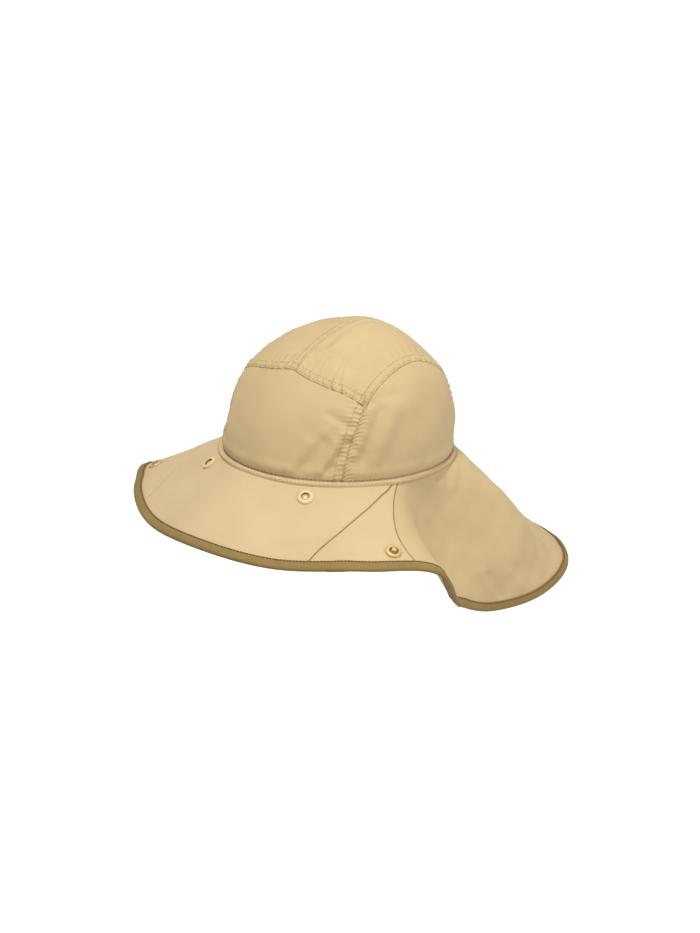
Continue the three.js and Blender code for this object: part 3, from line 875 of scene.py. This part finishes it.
def crown_side(side):
    stretch, _ = crown_seams(side)
    plan = patch(
        crown_foot(FOOT_TURN, HEEL_TURN, side), stretch("front", "rear"),
        stretch("foot", "front"), stretch("heel", "rear"))
    s = graded(0.16, 0.0012, low=0.006, high=0.003)
    t = graded(0.075, 0.0007, low=0.004, high=0.004)
    panel = crown_panel(plan, s, t, foot=0)
    seed = 100 + side
    pucker(panel, "first", seed + 2, 0.00065, 0.0062, 0.0017, -0.25, patchy=0.3)
    pucker(panel, "first", seed + 6, 0.0006, 0.013, 0.0055, 0.3)
    pucker(panel, "far", seed + 4, 0.0005, 0.007, 0.0028)
    for edge in ("first", "far", "last"):
        roll_edge(panel, edge, EDGE_ROLL)
    inner_tape(panel, ("first", "last", "far"))
    return panel


def crown_top(side):
    stretch, forehead = crown_seams(side)
    over, down = stretch("front", "rear"), stretch("rear", "heel")
    # The share of the outer side that runs from the front corner to the rear one, before it goes down
    turnover = 14 / 22
    front = forehead(0.5)[1]

    def outer(t):
        before = over(np.minimum(t / turnover, 1))
        after = down(np.maximum((t - turnover) / (1 - turnover), 0))
        return np.where(t[..., None] < turnover, before, after)

    def centre(t):
        return np.stack([np.zeros_like(t), front + (1 - front) * t], -1)

    plan = patch(lambda s: forehead(0.5 + s / 2), crown_foot(180, HEEL_TURN, side), centre, outer)
    s = graded(0.068, 0.0009, low=0.004, high=0.009)
    t = graded(0.2, 0.0008, low=0.009, high=0.003)
    panel = crown_panel(plan, s, t, foot=-1)
    seed = 200 + 10 * side
    fell(panel, "near", seed + 1)
    fell(panel, "last", seed + 2, amount=0.0005)
    before = panel.height.copy()
    fell(panel, "first", seed + 3, rise=0.00022, width=0.0031, amount=0.00025)
    pucker(panel, "first", seed + 6, 0.0005, 0.012, 0.005, 0.2)
    from_front, _ = panel.from_side("near")
    panel.height = before + (panel.height - before) * smoothstep(0.004, 0.008, from_front)
    pucker(panel, "near", seed + 4, 0.001, 0.015, 0.0036, 0.3)
    pucker(panel, "last", seed + 5, 0.0008, 0.015, 0.0036, -0.3)
    for edge in ("near", "last"):
        roll_edge(panel, edge, EDGE_ROLL, 0.0008)
    roll_edge(panel, "first", 0.0004, 0.0006)
    inner_tape(panel, ("near", "last", "first"))
    return panel


def crown_piece(panel, name, node):
    piece = dress(panel.mesh(name, CROWN_WALL, CROWN_CLOTH), "crown_cloth", node)
    panel.area()


def build_crown():
    rows = []
    front = crown_front()
    crown_piece(front, "front_panel_cloth", "crown_front_panel")
    for k, edge in enumerate(("first", "last")):
        rows.append(stitch_row(*front.row_at(edge, 0.0062), seed=k + 2))
    foot_rows = [stitch_row(*front.row_at("near", FOOT_STITCH_ROW), seed=31)]
    for word, side in SIDES:
        panel = crown_side(side)
        crown_piece(panel, f"side_panel_cloth_{word}", f"crown_side_{word}")
        rows.append(stitch_row(*panel.row_at("first", 0.0008), seed=side + 3))
        foot_rows.append(stitch_row(*panel.row_at("near", FOOT_STITCH_ROW), seed=side + 33))
        top = crown_top(side)
        crown_piece(top, f"top_panel_cloth_{word}", f"crown_top_{word}")
        for edge in ("near", "last"):
            for share in FELL_ROWS:
                rows.append(stitch_row(*top.row_at(edge, FELL_WIDTH * share), seed=side + 5))
        rows.append(stitch_row(*top.row_at("first", 0.0027), seed=side + 7))
        foot_rows.append(stitch_row(*top.row_at("far", FOOT_STITCH_ROW), seed=side + 37))
    dress(join_rows("crown_topstitching", rows, KHAKI_THREAD), "crown_cloth")
    dress(join_rows("crown_foot_stitching", foot_rows, BROWN_THREAD), "crown_cloth")


# Brim and flap


def brim_seam(rows, side=1, start=0):
    return seam_curve([(start + side * r["turn"], r["run"]) for r in rows])


def brim_line(start, end, run):
    return lambda s: np.stack([start + (end - start) * s, np.full_like(s, run)], -1)


def ring_line(run):
    """The brim's inner line or its rim, all the way round, as points."""
    turn = np.linspace(0, 360, 721)
    return brim_point(np.stack([turn, np.full_like(turn, run)], -1))


def soft_brim(panel):
    """Folds and unevenness of the brim and flap, and the raised band where they join the crown."""
    panel.height += brim_folds(panel.grid)
    off, _ = path_field(panel.base, ring_line(0))
    rim, _ = path_field(panel.base, ring_line(1))
    free = smoothstep(BAND_WIDTH, 4 * BAND_WIDTH, off)
    held = smoothstep(0.002, 0.014, rim)
    floppy = smoothstep(75, 105, side_turn(panel.grid[..., 0]))
    amount = (0.0004 + 0.0008 * floppy) * free * held
    panel.height += amount * ripples(panel.base, 81, 0.07)
    panel.height += 0.42 * amount * ripples(panel.base, 82, 0.028)
    before = panel.height.copy()
    crease(panel, FLAP_CREASES)
    panel.height = before + (panel.height - before) * smoothstep(0.004, 0.01, off) * held
    for edge in ("first", "last"):
        seam, _ = panel.from_side(edge)
        groove = 0.0012 * (1 - smoothstep(0, 0.0010, seam)) + 0.0002 * np.exp(-((seam / 0.003) ** 2))
        groove = groove * smoothstep(BINDING_WIDTH - 0.0012, BINDING_WIDTH + 0.0004, rim)
        panel.height -= groove * smoothstep(BAND_WIDTH - 0.0004, BAND_WIDTH + 0.0002, off)
    band = 1 - smoothstep(BAND_WIDTH - 0.0003, BAND_WIDTH + 0.0002, off)
    heading = np.radians(panel.grid[..., 0])
    uneven = wander(heading * BAND_RADIUS + 2, 83, 0.008)
    panel.height += (0.0009 + 0.00025 * uneven + 0.0003 * off / BAND_WIDTH) * band
    panel.height -= 0.0009 * np.exp(-(((off - BAND_WIDTH - 0.0004) / 0.0005) ** 2))
    panel.height -= 0.0008 * (1 - smoothstep(0, 0.0012, off))


def rim_graded(length):
    """Shares of the run, fine at the band and at the rim, that stop inside the binding."""
    t = graded(length, 0.0016, fine=0.00035, low=0.0065, high=0.002)
    return t * (1 - RIM_INSET / length)


def brim_panel(plan, length, step, depth):
    """A panel of the brim or flap with its folds, from its plan, rough size and steps along it."""
    panel = Panel(plan, brim_point, graded(length, step, low=0.003, high=0.003), rim_graded(depth))
    soft_brim(panel)
    return panel


def brim_front():
    plan = patch(
        brim_line(-INNER_FRONT, INNER_FRONT, 0), brim_line(-RIM_FRONT, RIM_FRONT, 1),
        brim_seam(GUSSET_FRONT_ROWS, -1), brim_seam(GUSSET_FRONT_ROWS))
    return brim_panel(plan, length=0.19, step=0.0015, depth=0.083)


def brim_gusset(side):
    plan = patch(
        brim_line(side * INNER_FRONT, side * INNER_REAR, 0),
        brim_line(side * RIM_FRONT, side * RIM_REAR, 1),
        brim_seam(GUSSET_FRONT_ROWS, side), brim_seam(GUSSET_REAR_ROWS, side))
    return brim_panel(plan, length=0.07, step=0.0012, depth=0.11)


def neck_flap():
    plan = patch(
        brim_line(INNER_REAR, 360 - INNER_REAR, 0), brim_line(RIM_REAR, 360 - RIM_REAR, 1),
        brim_seam(GUSSET_REAR_ROWS), brim_seam(GUSSET_REAR_ROWS, -1, 360))
    return brim_panel(plan, length=0.5, step=0.0022, depth=0.15)


def seam_shade_row(panel, edge, seed):
    """Close stitches of darker thread down in the ditch of a brim seam, between the band and the binding:
    stitching that also paints the ditch's shadow as a dark line.
    """
    index = {"first": 0, "last": -1}[edge]
    line, ways = panel.top()[index], panel.normal[index]
    off, _ = path_field(line, ring_line(0))
    rim, _ = path_field(line, ring_line(1))
    open_part = (off > BAND_WIDTH + 0.0004) & (rim > BINDING_WIDTH - 0.0006)
    points = line[open_part] + ways[open_part] * 0.0005
    return stitch_row(points, ways[open_part], pitch=0.0021, length=0.002, radius=0.00024, seed=seed)


def build_brim():
    rows = []
    seams = []
    parts = [("brim_front", brim_front(), BRIM_CLOTH, "brim_cloth", (0.26, 0.12), "stretched")]
    for word, side in SIDES:
        gusset = brim_gusset(side)
        parts.append((f"brim_gusset_{word}", gusset, BRIM_CLOTH, "brim_cloth", (0.075, 0.125), "stretched"))
    parts.append(("neck_flap", neck_flap(), FLAP_CLOTH, "flap_cloth", (0.62, 0.24), "hung"))
    for node, panel, cloth, slot, flat, held in parts:
        piece = dress(panel.mesh(f"{node}_cloth", BRIM_WALL, cloth), slot, node)
        panel.area()
        rows.append(stitch_row(*panel.row_at("near", BAND_WIDTH - 0.0009), seed=41))
        if node.startswith("brim_gusset"):
            # The ditch lines: darker thread that also paints the seams' shadow.
            seams += [seam_shade_row(panel, "first", 43), seam_shade_row(panel, "last", 44)]
    dress(join_rows("band_topstitching", rows, KHAKI_THREAD), "brim_cloth")
    dress(join_rows("brim_seam_stitching_and_shade", seams, SEAM_THREAD_AND_SHADE), "brim_cloth")


# Edge binding


def binding_section():
    """The folded tape across its length: points by how far inward of the rim and how far up."""
    edge = BINDING_EDGE
    section = []
    for k in range(LEG_POINTS):
        section.append((BINDING_WIDTH - (BINDING_WIDTH - edge) * k / (LEG_POINTS - 1), edge))
    for k in range(1, FOLD_POINTS):
        angle = math.pi * k / FOLD_POINTS
        section.append((edge - edge * math.sin(angle), edge * math.cos(angle)))
    for k in range(LEG_POINTS):
        section.append((edge + (BINDING_WIDTH - edge) * k / (LEG_POINTS - 1), -edge))
    inside = edge - BINDING_WALL
    section += [(BINDING_WIDTH, -inside), (BINDING_WALL, -inside)]
    section += [(BINDING_WALL, inside), (BINDING_WIDTH, inside)]
    return section


def binding_unevenness(along, inward, start):
    """Waves of the tape, the dip at its stitches and the lap where its ends join."""
    stitch = np.exp(-(((inward - BINDING_WIDTH + 0.0014) / 0.0009) ** 2))
    swell = np.sin(math.pi * min(1, inward / BINDING_WIDTH))
    uneven = (
        0.00022 * wander(along + inward * 0.8, 51, 0.0045) * swell
        + 0.0002 * wander(along - inward * 0.5, 52, 0.011) * swell
        - 0.0003 * stitch
        + 0.0002 * swell
    )
    past = along - start - inward * 0.9
    return uneven + 0.0005 * smoothstep(0, 0.0012, past) * (1 - smoothstep(0.011, 0.016, past))


def build_binding():
    """The tape folded round the rim, and a row of stitches on either face."""
    turn = np.linspace(0, 360, RIM_POINTS, endpoint=False)
    rim = np.stack([turn, np.ones_like(turn)], -1)
    last_bit = 0.02
    inner = rim - [0, last_bit]
    pace = np.linalg.norm(brim_point(rim) - brim_point(inner), axis=1) / last_bit
    spacing = np.linalg.norm(np.roll(brim_point(rim), -1, axis=0) - brim_point(rim), axis=1)
    along = np.concatenate([[0], np.cumsum(spacing)[:-1]])
    lap_start = LAP_PLACE * spacing.sum() / 360
    section = binding_section()
    points = []
    for j, (inward, lift) in enumerate(section):
        plan = np.stack([turn, 1 - inward / pace], -1)
        normal = brim_normal(plan)
        height = brim_folds(plan) - BRIM_WALL / 2 + lift
        if j < len(section) - INSIDE_POINTS:
            side = 1 if lift > 0 else -1
            height = height + side * binding_unevenness(along, inward, lap_start)
        points.append(brim_point(plan) + normal * height[:, None])
    grid = np.stack(points, 1)
    count = grid.shape[1]
    k = np.arange(RIM_POINTS * count).reshape(RIM_POINTS, count)
    a, b = k, np.roll(k, -1, axis=1)
    c, d = np.roll(b, -1, axis=0), np.roll(a, -1, axis=0)
    faces = np.stack([a, b, c, d], -1).reshape(-1, 4)
    around_section = np.concatenate([[0], np.cumsum(np.linalg.norm(np.diff(grid[0], axis=0), axis=1))])
    uv = np.stack(np.broadcast_arrays(along[:, None], around_section[None]), -1).reshape(-1, 2)
    piece = make_mesh("edge_binding_tape", grid.reshape(-1, 3), faces, BINDING_TAPE, uv)
    dress(piece, "binding_tape", "edge_binding")
    rows = []
    for index, side in ((1, 1), (LEG_POINTS * 2 + FOLD_POINTS - 3, -1)):
        line = np.concatenate([grid[:, index], grid[:1, index]])
        plan = np.stack([turn, 1 - section[index][0] / pace], -1)
        ways = side * brim_normal(plan)
        ways = np.concatenate([ways, ways[:1]])
        rows.append(stitch_row(line, ways, pitch=0.0025, length=0.002, radius=0.0004, seed=61))
    dress(join_rows("binding_stitching", rows, BROWN_THREAD), "binding_tape")


# Snaps


def turned(name, profile, material, place, side, shade_radii):
    """A turned piece on the brim, square to the cloth, from a profile of radius and height.

    The faces between the two given radii that lie above the cloth take a darker brass: painted shade in the
    snap's hollow."""
    turn, run = place[0] * side, place[1]
    plan = np.array([turn, run], float)
    normal = brim_normal(plan)
    seat = brim_point(plan) + normal * brim_folds(plan)
    tangent = unit(np.cross(normal, [0, 0, 1]))
    other = np.cross(normal, tangent)
    points, faces, rings, shade_index = [], [], [], []
    for radius, height in profile:
        count = SNAP_SIDES if radius > 1e-6 else 1
        rings.append(range(len(points), len(points) + count))
        for k in range(count):
            angle = 2 * math.pi * k / SNAP_SIDES
            way = tangent * math.cos(angle) + other * math.sin(angle)
            points.append(seat + normal * height + way * radius)
    for j, (low, high) in enumerate(zip(rings[:-1], rings[1:])):
        radius = (profile[j][0] + profile[j + 1][0]) / 2
        # Faces in the snap's hollow take the darker brass, as painted shade.
        inside = shade_radii[0] < radius < shade_radii[1] and profile[j][1] > -SNAP_SEAT
        shade_index += [int(inside)] * SNAP_SIDES
        for k in range(SNAP_SIDES):
            n = (k + 1) % SNAP_SIDES
            corners = [ring[i % len(ring)] for ring, i in ((low, k), (high, k), (high, n), (low, n))]
            # At a pole two of the corners are one point.
            faces.append(tuple(dict.fromkeys(corners)))
    piece = make_mesh(name, points, faces, material)
    piece.data.materials.append(SNAP_PAINTED_SHADE)
    piece.data.polygons.foreach_set("material_index", shade_index)
    return piece


def rounded(corners, radius=0.00018, steps=3):
    """A profile with its corners eased by short curves."""
    out = [corners[0]]
    for a, b, c in zip(corners[:-2], corners[1:-1], corners[2:]):
        a, b, c = np.array(a), np.array(b), np.array(c)
        to_a, to_c = a - b, c - b
        la, lc = np.linalg.norm(to_a), np.linalg.norm(to_c)
        r = min(radius, la / 2.2, lc / 2.2)
        start, end = b + to_a / la * r, b + to_c / lc * r
        for k in range(steps + 1):
            t = k / steps
            out.append(tuple(start * (1 - t) ** 2 + 2 * b * t * (1 - t) + end * t**2))
    out.append(corners[-1])
    return out


def build_snaps():
    back = -BRIM_WALL - SNAP_SEAT
    ring = [
        (SNAP_RADIUS - 0.0018, 0.0019), (SNAP_RADIUS - 0.0006, 0.0016), (SNAP_RADIUS, 0.0009),
        (SNAP_RADIUS, -0.0002), (SNAP_PILLAR, -0.0002), (SNAP_PILLAR, back), (SNAP_RADIUS - 0.0006, back),
        (SNAP_RADIUS - 0.0007, back - 0.0005), (SNAP_RADIUS - 0.002, back - 0.0009), (0, back - 0.0009),
    ]
    well = [
        (0, 0.0004), (SNAP_WELL - 0.0016, 0.0004), (SNAP_WELL - 0.0013, 0.0001),
        (SNAP_WELL - 0.0005, -0.0001), (SNAP_WELL - 0.0001, 0.0003), (SNAP_WELL, 0.0016),
        (SNAP_WELL + 0.0006, 0.0019),
    ]
    boss = [
        (0, 0.0031), (0.0014, 0.0031), (SNAP_BOSS, 0.0026), (0.0016, 0.0012), (0.0019, 0.0003),
        (SNAP_WELL - 0.0003, 0.0003), (SNAP_WELL, 0.0013), (SNAP_WELL + 0.0006, 0.0019),
    ]
    for word, side in SIDES:
        # Painted shade: the socket's well and the moat round the stud's boss take the darker brass.
        shade_radii = (SNAP_WELL - 0.0013, SNAP_WELL)
        socket = turned(f"socket_ring_{word}", rounded(well + ring), SNAP_ENAMEL, SOCKET_PLACE, side, shade_radii)
        dress(socket, "snap_enamel", f"snap_socket_{word}")
        shade_radii = (SNAP_BOSS, SNAP_WELL)
        stud = turned(f"stud_ring_{word}", rounded(boss + ring), SNAP_BRASS, STUD_PLACE, side, shade_radii)
        dress(stud, "snap_brass", f"snap_stud_{word}")


# Stage


def build_stage():
    side, z = FLOOR_REACH, cad_box[0].z - FLOOR_BELOW
    n = Nodes("floor")
    n.set(Base_Color=(0.6, 0.6, 0.6, 1), Roughness=0.9, Emission_Color=(1, 1, 1, 1))
    place = n.add("ShaderNodeTexCoord")
    split = n.add("ShaderNodeSeparateXYZ")
    n.link(place.outputs["Object"], split.inputs["Vector"])
    azimuth = math.radians(CAMERA_AZIMUTH)
    behind = n.math(
        "SUBTRACT", n.math("MULTIPLY", split.outputs["Y"], math.cos(azimuth)),
        n.math("MULTIPLY", split.outputs["X"], math.sin(azimuth)))
    glow = n.add("ShaderNodeMapRange")
    n.link(behind, glow.inputs["Value"])
    for key, value in (("From Min", 0.1), ("From Max", 0.75), ("To Min", 0.12), ("To Max", 0.85)):
        glow.inputs[key].default_value = value
    n.link(glow.outputs["Result"], n.shader.inputs["Emission Strength"])
    corners = [(-side, -side, z), (side, -side, z), (side, side, z), (-side, side, z)]
    floor = make_mesh("floor", corners, [(0, 1, 2, 3)], n.material)
    world = bpy.data.worlds.new("studio")
    world.use_nodes = True
    background = world.node_tree.nodes["Background"].inputs
    background["Color"].default_value = (1, 1, 1, 1)
    background["Strength"].default_value = 0.5
    bpy.context.scene.world = world
    for name, place, size, power in LIGHTS:
        area_light(name, place, size, power)
    bpy.context.scene.view_settings.view_transform = "Standard"


def area_light(name, place, size, power):
    data = bpy.data.lights.new(name, "AREA")
    data.size = size
    data.energy = power
    light = bpy.data.objects.new(name, data)
    light.location = place
    light.rotation_mode = "QUATERNION"
    light.rotation_quaternion = (Vector((0, 0, 0)) - Vector(place)).to_track_quat("-Z", "Y")
    bpy.context.scene.collection.objects.link(light)


def build_camera():
    a, e, r = (math.radians(x) for x in (CAMERA_AZIMUTH, CAMERA_ELEVATION, CAMERA_ROLL))
    back = Vector((math.sin(a) * math.cos(e), -math.cos(a) * math.cos(e), math.sin(e)))
    level = Vector((math.cos(a), math.sin(a), 0))
    above = back.cross(level)
    right = level * math.cos(r) + above * math.sin(r)
    up = above * math.cos(r) - level * math.sin(r)
    data = bpy.data.cameras.new("camera")
    data.sensor_width = SENSOR
    data.lens = FOCAL_PIXELS / FRAME_PIXELS * SENSOR
    data.clip_start = 0.01
    data.clip_end = 50
    camera = bpy.data.objects.new("camera", data)
    place = back * CAMERA_DISTANCE + right * CAMERA_ASIDE + up * CAMERA_ABOVE
    turned_axes = Matrix((right, up, back)).transposed().to_4x4()
    camera.matrix_world = Matrix.Translation(place) @ turned_axes
    bpy.context.scene.collection.objects.link(camera)
    bpy.context.scene.camera = camera


build_camera()
build_stage()
build_crown()
build_brim()
build_binding()
build_snaps()
